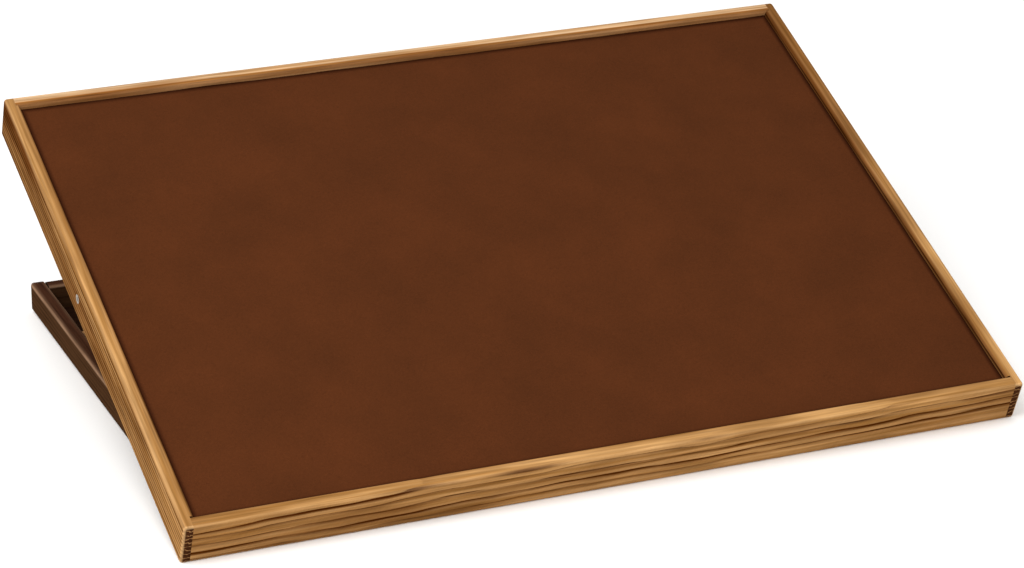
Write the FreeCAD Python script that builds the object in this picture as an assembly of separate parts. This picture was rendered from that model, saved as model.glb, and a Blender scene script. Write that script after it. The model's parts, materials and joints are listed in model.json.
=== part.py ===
import FreeCAD, Part
import math
import os

# Folding puzzle table: a felt-lined wooden tray (the board) hinged near the front of a low
# wooden frame (the base) and held up at the back by a notched support frame.
# Lengths are in millimetres and angles in degrees.
# Every piece is first placed with the table folded flat: x runs left to right from the
# middle, y runs backwards from the board's front face and z runs up from the floor.
# At the end the board and its support are swung up to the steepest working tilt.

# Board tray
board_width = 860.0
board_depth = 610.0
board_height = 46.5
board_rail_thickness = 13.5
lip_height = 6.0
steepest_tilt = 20.6

# Work surface: felt glued to a thin panel that sits in grooves in the rails
felt_thickness = 1.0
felt_edge_gap = 0.3
panel_thickness = 4.0
groove_depth = 5.0
groove_play = 0.2

# Stiffening under the panel
hinge_rail_depth = 22.0
batten_width = 40.0
batten_thickness = 7.0
batten_spacing = 215.0

# Base frame
base_inset = 32.0
base_rail_height = 30.0
base_side_rail_thickness = 16.0
base_cross_rail_thickness = 16.0
foot_thickness = 1.5
foot_width = 9.0
foot_length = 40.0
foot_end_distance = 15.0
bumper_width = 9.0
bumper_length = 24.0
bumper_clearance = 0.3
bumper_side_distance = 60.0

# Bottom panel of the base, in a rebate along the lower inner edges of its rails
base_panel_thickness = 4.0
base_panel_play = 0.2
rebate_depth = 6.0

# Eased edges: rounded on the rails, but crisp where the hinge leaves lie
arris_radius = 3.5
hinged_arris_radius = 1.0

# Housings in the board's side rails, which take the ends of its front and back rails
housing_depth = 4.0

# Loose tenons across the corner joints
tenon_length = 24.0
tenon_seat = 8.0
tenon_thickness = 5.0
tenon_height = 18.0
tenon_play = 0.05

# Butt hinges
hinge_length = 60.0
hinge_side_distance = 150.0
hinge_leaf_thickness = 1.0
hinge_leaf_gap = 0.4
hinge_leaf_margin = 2.0
hinge_knuckle_radius = 2.6
hinge_knuckle_clearance = 0.3
hinge_knuckle_end_play = 0.15
hinge_knuckle_count = 3
hinge_pin_radius = 1.25
hinge_pin_play = 0.05

# Countersunk screw holes in the hinge leaves
leaf_hole_count = 2
leaf_hole_outer_radius = 2.65
leaf_hole_inner_radius = 1.45

# Pivot of the support: a steel rod across the board with a screw in each end
pivot_from_back = 274.0
pivot_rod_radius = 4.0
pivot_rod_seat = 5.0
pivot_screw_head_radius = 4.7
pivot_screw_head_height = 2.2
pivot_screw_shank_radius = 2.5
pivot_screw_length = 24.0
screw_play = 0.05
rod_bore_play = 0.05
spacer_radius = 6.5
spacer_bore_play = 0.2
spacer_end_play = 0.3

# Support frame: two notched arms joined by a tie
support_side_gap = 12.0
support_arm_thickness = 14.0
support_arm_height = 20.0
support_end_clearance = 24.0
support_panel_clearance = 5.0
support_tie_radius = 5.0
support_tie_seat = 9.0
support_tie_play = 0.05
batten_clearance = 3.0
tie_wall = 3.0

# Stop bar in the base, and the notches that drop over it
stop_bar_radius = 6.0
stop_bar_seat = 8.0
stop_bar_play = 0.05
notch_depth = 5.0
notch_clearance = 0.3
notch_travel = 2.0
tilt_step_shares = (1.0, 0.7, 0.35)

# Distance by which a cutting body passes the face that it starts from
overrun = 1.0

# Least cosine between an edge and an axis that count as parallel
parallel_share = 0.99

# Heights with the table folded flat
folding_gap = 2 * hinge_leaf_thickness + hinge_leaf_gap
base_bottom = foot_thickness
base_top = base_bottom + base_rail_height
board_bottom = base_top + folding_gap
board_top = board_bottom + board_height
felt_top = board_top - lip_height
panel_top = felt_top - felt_thickness
panel_bottom = panel_top - panel_thickness
batten_bottom = panel_bottom - batten_thickness

# Half widths
board_half = board_width / 2
board_inner_half = board_half - board_rail_thickness
housed_half = board_inner_half + housing_depth
base_half = board_half - base_inset
base_inner_half = base_half - base_side_rail_thickness
arm_outer_half = base_inner_half - support_side_gap
arm_inner_half = arm_outer_half - support_arm_thickness

# The hinge pin lies where the front bottom edge of the board meets the floor at full tilt
tilt_sine = math.sin(math.radians(steepest_tilt))
tilt_cosine = math.cos(math.radians(steepest_tilt))
pin_z = base_top + folding_gap / 2
edge_reach = pin_z - arris_radius + (folding_gap / 2 + arris_radius) * tilt_cosine
pin_y = arris_radius + edge_reach / tilt_sine
hinge_face_y = pin_y + hinge_knuckle_radius + hinge_knuckle_clearance
hinge_leaf_width = base_cross_rail_thickness - hinge_leaf_margin
hinge_leaf_back_y = hinge_face_y + hinge_leaf_width
hinge_centre_x = board_half - hinge_side_distance

# The folded support lies clear of the panel, of the battens and of the back rail
arm_half_height = support_arm_height / 2
room_for_arm = support_panel_clearance + arm_half_height
room_for_tie = batten_thickness + batten_clearance + support_tie_radius
pivot_y = board_depth - pivot_from_back
pivot_z = panel_bottom - max(room_for_arm, room_for_tie)
support_reach = pivot_from_back - board_rail_thickness - support_end_clearance
tie_distance = support_reach - arm_half_height
notch_radius = stop_bar_radius + notch_clearance
farthest_notch = tie_distance - support_tie_radius - tie_wall - notch_radius
bar_below_arm_line = arm_half_height - notch_depth + notch_radius


def raised(y, z, tilt):
    """Place of a board point when the board is tilted about the hinge pin."""
    angle = math.radians(tilt)
    back = y - pin_y
    up = z - pin_z
    raised_y = pin_y + back * math.cos(angle) - up * math.sin(angle)
    raised_z = pin_z + back * math.sin(angle) + up * math.cos(angle)
    return raised_y, raised_z


# The stop bar lies in the base's rails where the farthest notch comes down at full tilt
raised_pivot_y, raised_pivot_z = raised(pivot_y, pivot_z, steepest_tilt)
stop_z = base_bottom + base_rail_height / 2
stop_drop = raised_pivot_z - stop_z
stop_sight = math.hypot(farthest_notch, bar_below_arm_line)
stop_y = raised_pivot_y + math.sqrt(stop_sight ** 2 - stop_drop ** 2)
sight_fall = math.degrees(math.asin(stop_drop / stop_sight))
arm_fall = sight_fall - math.degrees(math.atan2(bar_below_arm_line, farthest_notch))
support_swing = steepest_tilt + arm_fall


def notch_distance(tilt):
    """Distance from the pivot, along the arm, at which the stop bar meets the arm."""
    y, z = raised(pivot_y, pivot_z, tilt)
    sight = math.hypot(stop_y - y, stop_z - z)
    return math.sqrt(sight ** 2 - bar_below_arm_line ** 2)


# Middle of the raised table from front to back, which becomes y = 0
front_arris = raised(arris_radius, board_top - arris_radius, steepest_tilt)
middle_y = (front_arris[0] - arris_radius + board_depth) / 2


def vector(x, y, z):
    return FreeCAD.Vector(x, y, z)


def block(x0, x1, y0, y1, z0, z1):
    """Box between two values on each axis, given in either order."""
    low = vector(min(x0, x1), min(y0, y1), min(z0, z1))
    return Part.makeBox(abs(x1 - x0), abs(y1 - y0), abs(z1 - z0), low)


def bar_x(x0, x1, y, z, radius):
    """Round bar along x."""
    return Part.makeCylinder(radius, abs(x1 - x0), vector(min(x0, x1), y, z), vector(1, 0, 0))


def edges_along(shape, axis):
    """Straight edges of a shape that run along one axis."""
    chosen = []
    for edge in shape.Edges:
        run = (edge.Vertexes[-1].Point - edge.Vertexes[0].Point).normalize()
        if abs(run.dot(axis)) > parallel_share:
            chosen.append(edge)
    return chosen


def group(shapes):
    return Part.makeCompound(shapes)


def cut_all(shape, tools):
    for tool in tools:
        shape = shape.cut(tool)
    return shape


def side_rail(side, outer, thickness, y0, y1, z0, z1):
    """Rail that runs the full depth; its long edges and its outer corners are eased."""
    rail = block(side * outer, side * (outer - thickness), y0, y1, z0, z1)
    eased = edges_along(rail, vector(0, 1, 0))
    for edge in edges_along(rail, vector(0, 0, 1)):
        if side * edge.Vertexes[0].X > outer - thickness / 2:
            eased.append(edge)
    return rail, eased


def cross_rail(half, y0, y1, z0, z1, radius):
    """Rail that runs from one side rail to the other; its long edges are eased."""
    rail = block(-half, half, y0, y1, z0, z1)
    return rail.makeFillet(radius, edges_along(rail, vector(1, 0, 0)))


def corner_tenons(side, inner, y_centres, z0, z1, play):
    """Loose tenons, or the mortises for them, between one side rail and the cross rails."""
    half_thickness = tenon_thickness / 2 + play
    half_height = tenon_height / 2 + play
    start = side * (inner + tenon_seat + play)
    end = side * (inner + tenon_seat - tenon_length - play)
    middle_z = (z0 + z1) / 2
    return [
        block(
            start,
            end,
            y - half_thickness,
            y + half_thickness,
            middle_z - half_height,
            middle_z + half_height,
        )
        for y in y_centres
    ]


def leaf_holes(centre_x, z, direction):
    """Countersunk holes that start at height z in a leaf and narrow towards the wood."""
    pitch = hinge_length / leaf_hole_count
    first_x = centre_x - hinge_length / 2 + pitch / 2
    y = hinge_face_y + hinge_leaf_width / 2
    return [
        Part.makeCone(
            leaf_hole_outer_radius,
            leaf_hole_inner_radius,
            hinge_leaf_thickness,
            vector(first_x + index * pitch, y, z),
            direction,
        )
        for index in range(leaf_hole_count)
    ]


def hinge_leaf(centre_x, z0, z1, knuckles, holes):
    """Flat leaf with every second knuckle rolled round the pin."""
    start = centre_x - hinge_length / 2
    leaf = block(start, start + hinge_length, hinge_face_y, hinge_leaf_back_y, z0, z1)
    pitch = hinge_length / hinge_knuckle_count
    for index in knuckles:
        x0 = start + index * pitch + hinge_knuckle_end_play
        x1 = start + (index + 1) * pitch - hinge_knuckle_end_play
        leaf = leaf.fuse(block(x0, x1, pin_y, hinge_face_y, z0, z1))
        leaf = leaf.fuse(bar_x(x0, x1, pin_y, pin_z, hinge_knuckle_radius))
    bore_radius = hinge_pin_radius + hinge_pin_play
    bore = bar_x(start - overrun, start + hinge_length + overrun, pin_y, pin_z, bore_radius)
    return cut_all(leaf.cut(bore), holes).removeSplitter()


def pivot_screw(side, play):
    """Countersunk screw, or its hole, in one end of the pivot rod."""
    head_x = side * board_half
    neck_x = side * (board_half - pivot_screw_head_height)
    tip_x = side * (board_half - pivot_screw_length - play)
    head = Part.makeCone(
        pivot_screw_head_radius + play,
        pivot_screw_shank_radius + play,
        pivot_screw_head_height,
        vector(head_x, pivot_y, pivot_z),
        vector(-side, 0, 0),
    )
    return head.fuse(bar_x(neck_x, tip_x, pivot_y, pivot_z, pivot_screw_shank_radius + play))


def panel_body(reach, z0, z1):
    """Flat body that reaches the given distance into the rails on all four sides."""
    half = board_inner_half + reach
    front = board_rail_thickness - reach
    return block(-half, half, front, board_depth - front, z0, z1)


def base_panel_body(play, z0):
    """Bottom panel of the base from height z0 up, or the room for it in the rails."""
    half = base_inner_half + rebate_depth + play
    front = hinge_face_y + base_cross_rail_thickness - rebate_depth - play
    back = board_depth - base_cross_rail_thickness + rebate_depth + play
    return block(-half, half, front, back, z0, base_bottom + base_panel_thickness)


def arm(side):
    """Support arm with round ends, a pivot bore and notches in its lower edge."""
    outer = side * arm_outer_half
    inner = side * arm_inner_half
    low = pivot_z - arm_half_height
    high = pivot_z + arm_half_height
    end_y = pivot_y + tie_distance
    shape = block(outer, inner, pivot_y, end_y, low, high)
    for y in (pivot_y, end_y):
        shape = shape.fuse(bar_x(outer, inner, y, pivot_z, arm_half_height))
    shape = shape.removeSplitter()
    past_outer = outer + side * overrun
    past_inner = inner - side * overrun
    notch_z = pivot_z - bar_below_arm_line
    for share in tilt_step_shares:
        far_y = pivot_y + notch_distance(steepest_tilt * share)
        near_y = far_y - notch_travel
        notch = block(
            past_outer, past_inner, near_y, far_y, notch_z - notch_radius, notch_z + notch_radius
        )
        for y in (near_y, far_y):
            notch = notch.fuse(bar_x(past_outer, past_inner, y, notch_z, notch_radius))
        shape = shape.cut(notch.removeSplitter())
    pivot_bore = bar_x(past_outer, past_inner, pivot_y, pivot_z, pivot_rod_radius + rod_bore_play)
    seat_start = side * (arm_inner_half + support_tie_seat)
    tie_radius = support_tie_radius + support_tie_play
    tie_hole = bar_x(seat_start, past_inner, end_y, pivot_z, tie_radius)
    return shape.cut(pivot_bore).cut(tie_hole)


def base_pieces():
    pieces = {}
    back_front = board_depth - base_cross_rail_thickness
    tenon_ys = [y + base_cross_rail_thickness / 2 for y in (hinge_face_y, back_front)]
    corner = (base_inner_half, tenon_ys, base_bottom, base_top)
    head_z = base_top + hinge_leaf_thickness
    bar_seat = base_inner_half + stop_bar_seat
    bar_hole = bar_x(-bar_seat, bar_seat, stop_y, stop_z, stop_bar_radius + stop_bar_play)
    rebate = base_panel_body(base_panel_play, base_bottom - overrun)
    mortises = []
    tenons = []
    for side, name in ((-1, "left"), (1, "right")):
        rail, eased = side_rail(
            side,
            base_half,
            base_side_rail_thickness,
            hinge_face_y,
            board_depth,
            base_bottom,
            base_top,
        )
        rail = rail.makeFillet(arris_radius, eased)
        own_mortises = corner_tenons(side, *corner, tenon_play)
        pieces["base_%s_rail" % name] = cut_all(rail, own_mortises + [bar_hole, rebate])
        mortises += own_mortises
        tenons += corner_tenons(side, *corner, 0)
    front_back = hinge_face_y + base_cross_rail_thickness
    for name, y0, y1, radius in (
        ("front", hinge_face_y, front_back, hinged_arris_radius),
        ("back", back_front, board_depth, arris_radius),
    ):
        rail = cross_rail(base_inner_half, y0, y1, base_bottom, base_top, radius)
        pieces["base_%s_rail" % name] = cut_all(rail, mortises + [rebate])
    pieces["base_bottom_panel"] = base_panel_body(0, base_bottom)
    pieces["base_corner_tenons"] = group(tenons)
    pieces["stop_bar"] = bar_x(-bar_seat, bar_seat, stop_y, stop_z, stop_bar_radius)

    foot_x = base_half - base_side_rail_thickness / 2
    feet = []
    for x in (-foot_x, foot_x):
        left = x - foot_width / 2
        front_y = hinge_face_y + foot_end_distance
        back_y = board_depth - foot_end_distance
        for y0, y1 in ((front_y, front_y + foot_length), (back_y - foot_length, back_y)):
            feet.append(block(left, left + foot_width, y0, y1, 0, foot_thickness))
    pieces["base_feet"] = group(feet)

    bumper_x = base_inner_half - bumper_side_distance
    bumper_y = board_depth - base_cross_rail_thickness / 2
    bumper_top = board_bottom - bumper_clearance
    bumpers = []
    for x in (-bumper_x, bumper_x):
        left = x - bumper_length / 2
        front_y = bumper_y - bumper_width / 2
        right = left + bumper_length
        back_y = front_y + bumper_width
        bumpers.append(block(left, right, front_y, back_y, base_top, bumper_top))
    pieces["closing_bumpers"] = group(bumpers)

    for name, centre_x in (("left", -hinge_centre_x), ("right", hinge_centre_x)):
        holes = leaf_holes(centre_x, head_z, vector(0, 0, -1))
        own_knuckles = range(0, hinge_knuckle_count, 2)
        leaf = hinge_leaf(centre_x, base_top, head_z, own_knuckles, holes)
        pieces["hinge_%s_lower_leaf" % name] = leaf
        start = centre_x - hinge_length / 2
        pin = bar_x(start, start + hinge_length, pin_y, pin_z, hinge_pin_radius)
        pieces["hinge_%s_pin" % name] = pin
    return pieces


def board_pieces():
    pieces = {}
    groove = panel_body(groove_depth, panel_bottom, panel_top + groove_play)
    back_front = board_depth - board_rail_thickness
    tenon_ys = (board_rail_thickness / 2, board_depth - board_rail_thickness / 2)
    corner = (board_inner_half, tenon_ys, board_bottom, panel_bottom)
    head_z = board_bottom - hinge_leaf_thickness
    rod_half = board_inner_half + pivot_rod_seat
    rod_bore = pivot_rod_radius + rod_bore_play
    rod_hole = bar_x(-rod_half, rod_half, pivot_y, pivot_z, rod_bore)
    end_screw_holes = [pivot_screw(side, screw_play) for side in (-1, 1)]
    housing_z0 = board_bottom - overrun
    housing_z1 = board_top + overrun
    housings = [
        block(-housed_half, housed_half, y_end, y_inner, housing_z0, housing_z1)
        for y_end, y_inner in (
            (-overrun, board_rail_thickness),
            (board_depth + overrun, back_front),
        )
    ]
    mortises = []
    tenons = []
    for side, name in ((-1, "left"), (1, "right")):
        rail, eased = side_rail(
            side, board_half, board_rail_thickness, 0, board_depth, board_bottom, board_top
        )
        end_edges = edges_along(rail, vector(1, 0, 0))
        rail = rail.makeFillet(arris_radius, eased + end_edges)
        own_mortises = corner_tenons(side, *corner, tenon_play)
        tools = housings + own_mortises + [groove, rod_hole] + end_screw_holes
        pieces["board_%s_rail" % name] = cut_all(rail, tools)
        mortises += own_mortises
        tenons += corner_tenons(side, *corner, 0)
    for name, y0, y1 in (
        ("front", 0, board_rail_thickness),
        ("back", back_front, board_depth),
    ):
        rail = cross_rail(housed_half, y0, y1, board_bottom, board_top, arris_radius)
        pieces["board_%s_rail" % name] = cut_all(rail, mortises + [groove])
    pieces["board_corner_tenons"] = group(tenons)
    pieces["work_panel"] = panel_body(groove_depth - groove_play, panel_bottom, panel_top)
    pieces["felt_cover"] = panel_body(-felt_edge_gap, panel_top, felt_top)

    hinge_rail_back = hinge_face_y + hinge_rail_depth
    pieces["hinge_rail"] = block(
        -board_inner_half,
        board_inner_half,
        hinge_face_y,
        hinge_rail_back,
        board_bottom,
        panel_bottom,
    )
    for step, name in ((-1, "left"), (0, "middle"), (1, "right")):
        x0 = step * batten_spacing - batten_width / 2
        x1 = x0 + batten_width
        batten = block(x0, x1, hinge_rail_back, back_front, batten_bottom, panel_bottom)
        pieces["panel_batten_%s" % name] = batten

    rod = bar_x(-rod_half, rod_half, pivot_y, pivot_z, pivot_rod_radius)
    pieces["pivot_rod"] = cut_all(rod, end_screw_holes)
    pieces["pivot_screws"] = group([pivot_screw(side, 0) for side in (-1, 1)])
    spacer_bore = pivot_rod_radius + spacer_bore_play
    for side, name in ((-1, "left"), (1, "right")):
        start = side * board_inner_half
        end = side * (arm_outer_half + spacer_end_play)
        spacer = bar_x(start, end, pivot_y, pivot_z, spacer_radius)
        past_start = start + side * overrun
        past_end = end - side * overrun
        bore = bar_x(past_start, past_end, pivot_y, pivot_z, spacer_bore)
        pieces["pivot_spacer_%s" % name] = spacer.cut(bore)

    for name, centre_x in (("left", -hinge_centre_x), ("right", hinge_centre_x)):
        holes = leaf_holes(centre_x, head_z, vector(0, 0, 1))
        own_knuckles = range(1, hinge_knuckle_count, 2)
        leaf = hinge_leaf(centre_x, head_z, board_bottom, own_knuckles, holes)
        pieces["hinge_%s_upper_leaf" % name] = leaf
    return pieces


def support_pieces():
    pieces = {"support_arm_left": arm(-1), "support_arm_right": arm(1)}
    tie_half = arm_inner_half + support_tie_seat
    tie_y = pivot_y + tie_distance
    pieces["support_tie"] = bar_x(-tie_half, tie_half, tie_y, pivot_z, support_tie_radius)
    return pieces


def swung(shape, y, z, angle):
    """Piece turned about a line along x through y and z."""
    turned = shape.copy()
    turned.rotate(vector(0, y, z), vector(1, 0, 0), angle)
    return turned


def raised_pieces():
    """All pieces at the steepest tilt, with the origin under the middle of the table."""
    pieces = base_pieces()
    for name, shape in board_pieces().items():
        pieces[name] = swung(shape, pin_y, pin_z, steepest_tilt)
    for name, shape in support_pieces().items():
        lowered = swung(shape, pivot_y, pivot_z, -support_swing)
        pieces[name] = swung(lowered, pin_y, pin_z, steepest_tilt)
    for shape in pieces.values():
        shape.translate(vector(0, -middle_y, 0))
    return pieces


os.makedirs("parts", exist_ok=True)
for node, shape in raised_pieces().items():
    shape.exportStep("parts/%s.step" % node)

print("hinge pin at y %.4f z %.4f" % (pin_y - middle_y, pin_z))
print("support pivot at y %.4f z %.4f" % (raised_pivot_y - middle_y, raised_pivot_z))
print("tilt %.4f, support swing %.4f, arms fall %.4f" % (steepest_tilt, support_swing, arm_fall))
print("folded flat: pin y %.3f, stop bar y %.3f, pivot z %.3f" % (pin_y, stop_y, pivot_z))
print("notches at", ["%.2f" % notch_distance(steepest_tilt * s) for s in tilt_step_shares])
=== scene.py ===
"""Looks of a folding puzzle table: a felt-lined tray of torched pine, tilted on a dark low base.

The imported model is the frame. Its solids keep their place and shape and get procedural finishes.
The felt and the screws are meshes of their own, and ride on the bodies that they are fixed to.
Lengths are in metres, apart from names that end in mm. Patterns are laid out in real millimetres.
"""

from __future__ import annotations

import json
import logging
import math
from collections.abc import Mapping, Sequence
from dataclasses import dataclass, replace
from enum import Enum

import bmesh
import bpy
from mathutils import Matrix, Vector, noise

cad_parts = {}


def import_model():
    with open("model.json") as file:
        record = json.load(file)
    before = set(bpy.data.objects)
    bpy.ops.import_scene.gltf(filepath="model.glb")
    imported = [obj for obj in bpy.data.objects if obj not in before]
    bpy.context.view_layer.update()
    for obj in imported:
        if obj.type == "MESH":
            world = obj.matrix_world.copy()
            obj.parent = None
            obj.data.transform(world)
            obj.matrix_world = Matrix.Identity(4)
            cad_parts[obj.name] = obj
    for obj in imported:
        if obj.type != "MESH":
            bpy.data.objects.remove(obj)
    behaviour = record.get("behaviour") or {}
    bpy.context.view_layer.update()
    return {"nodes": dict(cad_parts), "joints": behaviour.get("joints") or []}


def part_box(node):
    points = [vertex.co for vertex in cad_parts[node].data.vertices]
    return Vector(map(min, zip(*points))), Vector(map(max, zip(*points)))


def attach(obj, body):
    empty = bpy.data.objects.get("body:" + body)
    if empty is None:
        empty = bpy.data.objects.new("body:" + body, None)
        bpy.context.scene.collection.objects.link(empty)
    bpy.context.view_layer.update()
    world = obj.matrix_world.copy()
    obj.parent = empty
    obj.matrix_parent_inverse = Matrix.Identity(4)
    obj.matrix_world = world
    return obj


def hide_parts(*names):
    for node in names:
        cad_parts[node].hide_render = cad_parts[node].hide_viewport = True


LOG = logging.getLogger("puzzle_table")
MM = 0.001
# Faces that meet under these angles are shaded smooth
SMOOTH_DEG = 30.0
FELT_SMOOTH_DEG = 80.0
# Nearly all of a noise lies between these values
NOISE_SPAN = (0.3, 0.7)

Colour = tuple[float, float, float, float]
Node = bpy.types.Node
Piece = bpy.types.Object
Nodes = Mapping[str, Piece]


class Body(Enum):
    """The rigid bodies that new pieces ride on."""

    BASE = "base"
    BOARD = "board"


class Grain(Enum):
    """Direction in which a stick's grain runs on the folded table."""

    ALONG_WIDTH = "x"
    ALONG_DEPTH = "y"


class Patches(Enum):
    """Soft random patches in wood: size in mm along the log, across and up, and what sets them apart."""

    STREAKS = ((210.0, 5.0, 5.0), 4)
    SCORCHES = ((120.0, 34.0, 34.0), 9)
    WEAR = ((60.0, 40.0, 40.0), 15)
    RAYS = ((3.2, 0.5, 0.5), 21)
    BRUSH_STROKES = ((14.0, 30.0, 1.5), 27)
    FLAME_LICKS = ((150.0, 60.0, 22.0), 33)
    FAINT_RINGS = ((85.0, 9.0, 9.0), 38)
    TORN_RINGS = ((40.0, 5.0, 5.0), 44)


def linear(code: str) -> Colour:
    """Turn an sRGB hex colour to the linear values that shaders take.

    Args:
        code: Colour such as "#a0b0c0".

    Returns:
        Linear red, green and blue, and an alpha of 1.
    """
    channels = [int(code[i : i + 2], 16) / 255 for i in (1, 3, 5)]
    red, green, blue = (c / 12.92 if c <= 0.04045 else ((c + 0.055) / 1.055) ** 2.4 for c in channels)
    return red, green, blue, 1.0


class Surface:
    """A material under construction: its node tree and its Principled shader."""

    def __init__(self, name: str) -> None:
        """Start a material with a bare Principled shader.

        Args:
            name: The material's name.
        """
        self.material = bpy.data.materials.new(name)
        self.material.use_nodes = True
        self.tree = self.material.node_tree

    def feed(self, socket: bpy.types.NodeSocket, value: object) -> None:
        """Set an input or link it.

        Args:
            socket: The input.
            value: A value, a hex colour, an output, or a node whose first output is used.
        """
        if isinstance(value, bpy.types.Node):
            value = next(o for o in value.outputs if o.enabled)
        if isinstance(value, bpy.types.NodeSocket):
            self.tree.links.new(value, socket)
        else:
            socket.default_value = linear(value) if isinstance(value, str) else value

    def add_node(
        self, kind: str, *inputs: object, stops: Sequence[tuple[float, str]] = (), **named: object
    ) -> Node:
        """Add a shader node with its settings and links.

        Args:
            kind: The node's kind without its ShaderNode prefix.
            *inputs: What feeds its inputs, in their order. A MapRange node takes the value, the
                stretch it is mapped from and the stretch it is mapped to.
            stops: Positions and colours of a colour ramp.
            **named: Settings of the node and, with a capital, inputs by name.

        Returns:
            The new node.
        """
        node = self.tree.nodes.new("ShaderNode" + kind)
        for name, value in named.items():
            if name[0].islower():
                setattr(node, name, value)
        sockets = [s for s in node.inputs if s.enabled]
        for socket, value in zip(sockets, inputs):
            self.feed(socket, value)
        for socket in sockets:
            if socket.name in named:
                self.feed(socket, named[socket.name])
        if stops:
            elements = node.color_ramp.elements
            while len(elements) < len(stops):
                elements.new(1.0)
            for element, (position, code) in zip(elements, stops, strict=True):
                element.position = position
                element.color = linear(code)
        return node

    def shade(self, inputs: Mapping[str, object]) -> bpy.types.Material:
        """Feed the shader.

        Args:
            inputs: What goes into its inputs, by their names.

        Returns:
            The finished material.
        """
        shader = self.tree.nodes["Principled BSDF"]
        for name, value in inputs.items():
            self.feed(shader.inputs[name], value)
        return self.material


def paint(piece: Piece, material: bpy.types.Material) -> Piece:
    """Give a piece one material all over.

    Args:
        piece: The piece.
        material: Its material.

    Returns:
        The same piece.
    """
    piece.data.materials.clear()
    piece.data.materials.append(material)
    return piece


@dataclass(frozen=True)
class Sawing:
    """How one stick was cut from its log, which decides the lines on its faces."""

    pith_across_mm: float
    pith_up_mm: float
    ring_mm: float = 4.6
    shift: float = 0.0
    rise_deg: float = 0.0
    wander_mm: float = 3.0
    wander_length_mm: float = 260.0
    wander_girth_mm: float = 90.0
    ripple_mm: float = 0.7
    ripple_length_mm: float = 70.0
    ripple_girth_mm: float = 18.0
    # Height above the stick's middle under which the late wood stays pale
    pale_under_mm: float = -1000.0
    seed: float = 0.0


@dataclass(frozen=True)
class CharAndShade:
    """How strongly each side and each end of a rail is darkened: char, with painted shade beside the
    felt, over the top towards its inner edge and on the outer face.
    """

    # Sign of the across axis that points into the tray
    inward: float
    # Char and painted shade on the faces that look into the tray, beside the felt
    char_and_shade_in: float = 0.8
    # Char and painted shade on the outer face
    char_and_shade_out: float = 0.0
    # Share of the outer face's char and painted shade that is left at the near end
    near_share: float = 1.0
    # Char and painted shade over the top towards its inner edge
    char_and_shade_top: float = 0.4
    # Where the char and painted shade on the top begin and where they are full, counted inwards from the
    # middle
    top_from_mm: float = -2.0
    top_to_mm: float = 6.0
    # The far end lies to the right or at the back, the near end to the left or in front
    char_far: float = 0.0
    char_near: float = 0.0
    fade_from_mm: float = 0.0
    fade_to_mm: float = 330.0


@dataclass(frozen=True)
class Stick:
    """A wooden CAD piece, its grain, its place in the log and its char and painted shade."""

    node: str
    grain: Grain
    sawing: Sawing
    flame: CharAndShade | None = None

    def axes(self, tilt_deg: float) -> Matrix:
        """Axes of the stick: along the grain, across its thickness, and up.

        Args:
            tilt_deg: Tilt of its body about the X axis at rest.

        Returns:
            A 3x3 matrix with the axes as its columns.
        """
        turn = Matrix.Rotation(math.radians(tilt_deg), 3, "X")
        quarter = Matrix.Rotation(math.radians(90), 3, "Z")
        return turn @ quarter if self.grain is Grain.ALONG_DEPTH else turn


@dataclass(frozen=True)
class WoodFinish:
    """Colours and relief of one kind of wood."""

    name: str
    early: str
    early_warm: str
    late: str
    scorch: str
    end_light: str
    end_dark: str
    # Colour of the eased edges, partly wear and partly painted highlight
    arris_worn_and_highlit: str
    late_share: float
    late_strength: float
    scorch_amount: float
    roughness_early: float
    roughness_late: float
    relief_mm: float
    # Share of the late wood's darkness that is brushed off where a face lies along the rings
    brushed_off: float = 0.6
    arris_wear_and_highlight: float = 0.2
    # Wear and painted highlight reach round an eased edge up to the place where it faces up by this much
    arris_reach: float = 1.4
    # Share of the top's colour beside its edges that is rubbed off and painted with highlight
    rubbed_and_highlit_top: float = 0.0
    # Painted reflection: the tone that the side faces take from the light around them, and how strongly
    side: str = "#808080"
    side_reflection_amount: float = 0.0
    fleck: float = 0.0
    brush_marks: float = 0.0
    # Colour that the char and the painted shade multiply the wood with
    char: str = "#8a6a4a"

    def dress(self, piece: Piece, stick: Stick, tilt_deg: float) -> Piece:
        """Give a wooden piece this finish, with its own place in the log."""
        return paint(piece, WoodSurface(self, stick, tilt_deg).build())


# Values of a noise over which wood turns from plain to warm, scorched, licked, flecked or brushed
WARM_SPAN = (0.34, 0.66)
SCORCH_SPAN = (0.42, 0.68)
LICK_SPAN = (0.35, 0.65)
FLECK_SPAN = (0.6, 0.72)
STROKE_SPAN = (0.42, 0.6)
# How squarely a face looks along an axis, from where a tone or wear sets in to where it is full
EASED_SPAN = (0.99, 0.88)
END_SPAN = (0.6, 0.85)
SKIM_SPAN = (0.8, 0.99)
SIDE_REFLECTION_SPAN = (0.55, 0.2)
INNER_SPAN = (0.2, 0.75)
OUTER_SPAN = (-0.6, -0.95)
CORNER_SPAN = (0.1, 0.4)
WEAR_FADE = 0.3
# Late wood over this share of its darkness is a ridge that is brushed clean on end grain
RIDGE_SPAN = (0.7, 1.0)
# Tones between which fibres and patches shade the wood and its late wood
FIBRE_SHADE = (0.72, 1.2)
FIBRE_LATE = (1.35, 0.6)
PATCH_LATE = (0.55, 1.25)
# Least strength of a year's late wood, a lick of the flame and a worn and highlit place, as shares of
# the most
FAINT_YEAR = 0.25
FAINT_LICK = 0.3
FAINT_WEAR = 0.35
# What is left of the late wood low on a stick, and half the height over which it fades
PALE_LATE = 0.3
PALE_FADE_MM = 3.0
# Stretch of the outer face over which its char and painted shade grow from the near end towards the far
# end
OUTER_CHAR_AND_SHADE_MM = (-280.0, 200.0)
# Distances from a top's middle line between which the rubbing and painted highlight set in and are full
RUBBED_AND_HIGHLIT_MM = (3.0, 7.5)
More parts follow.
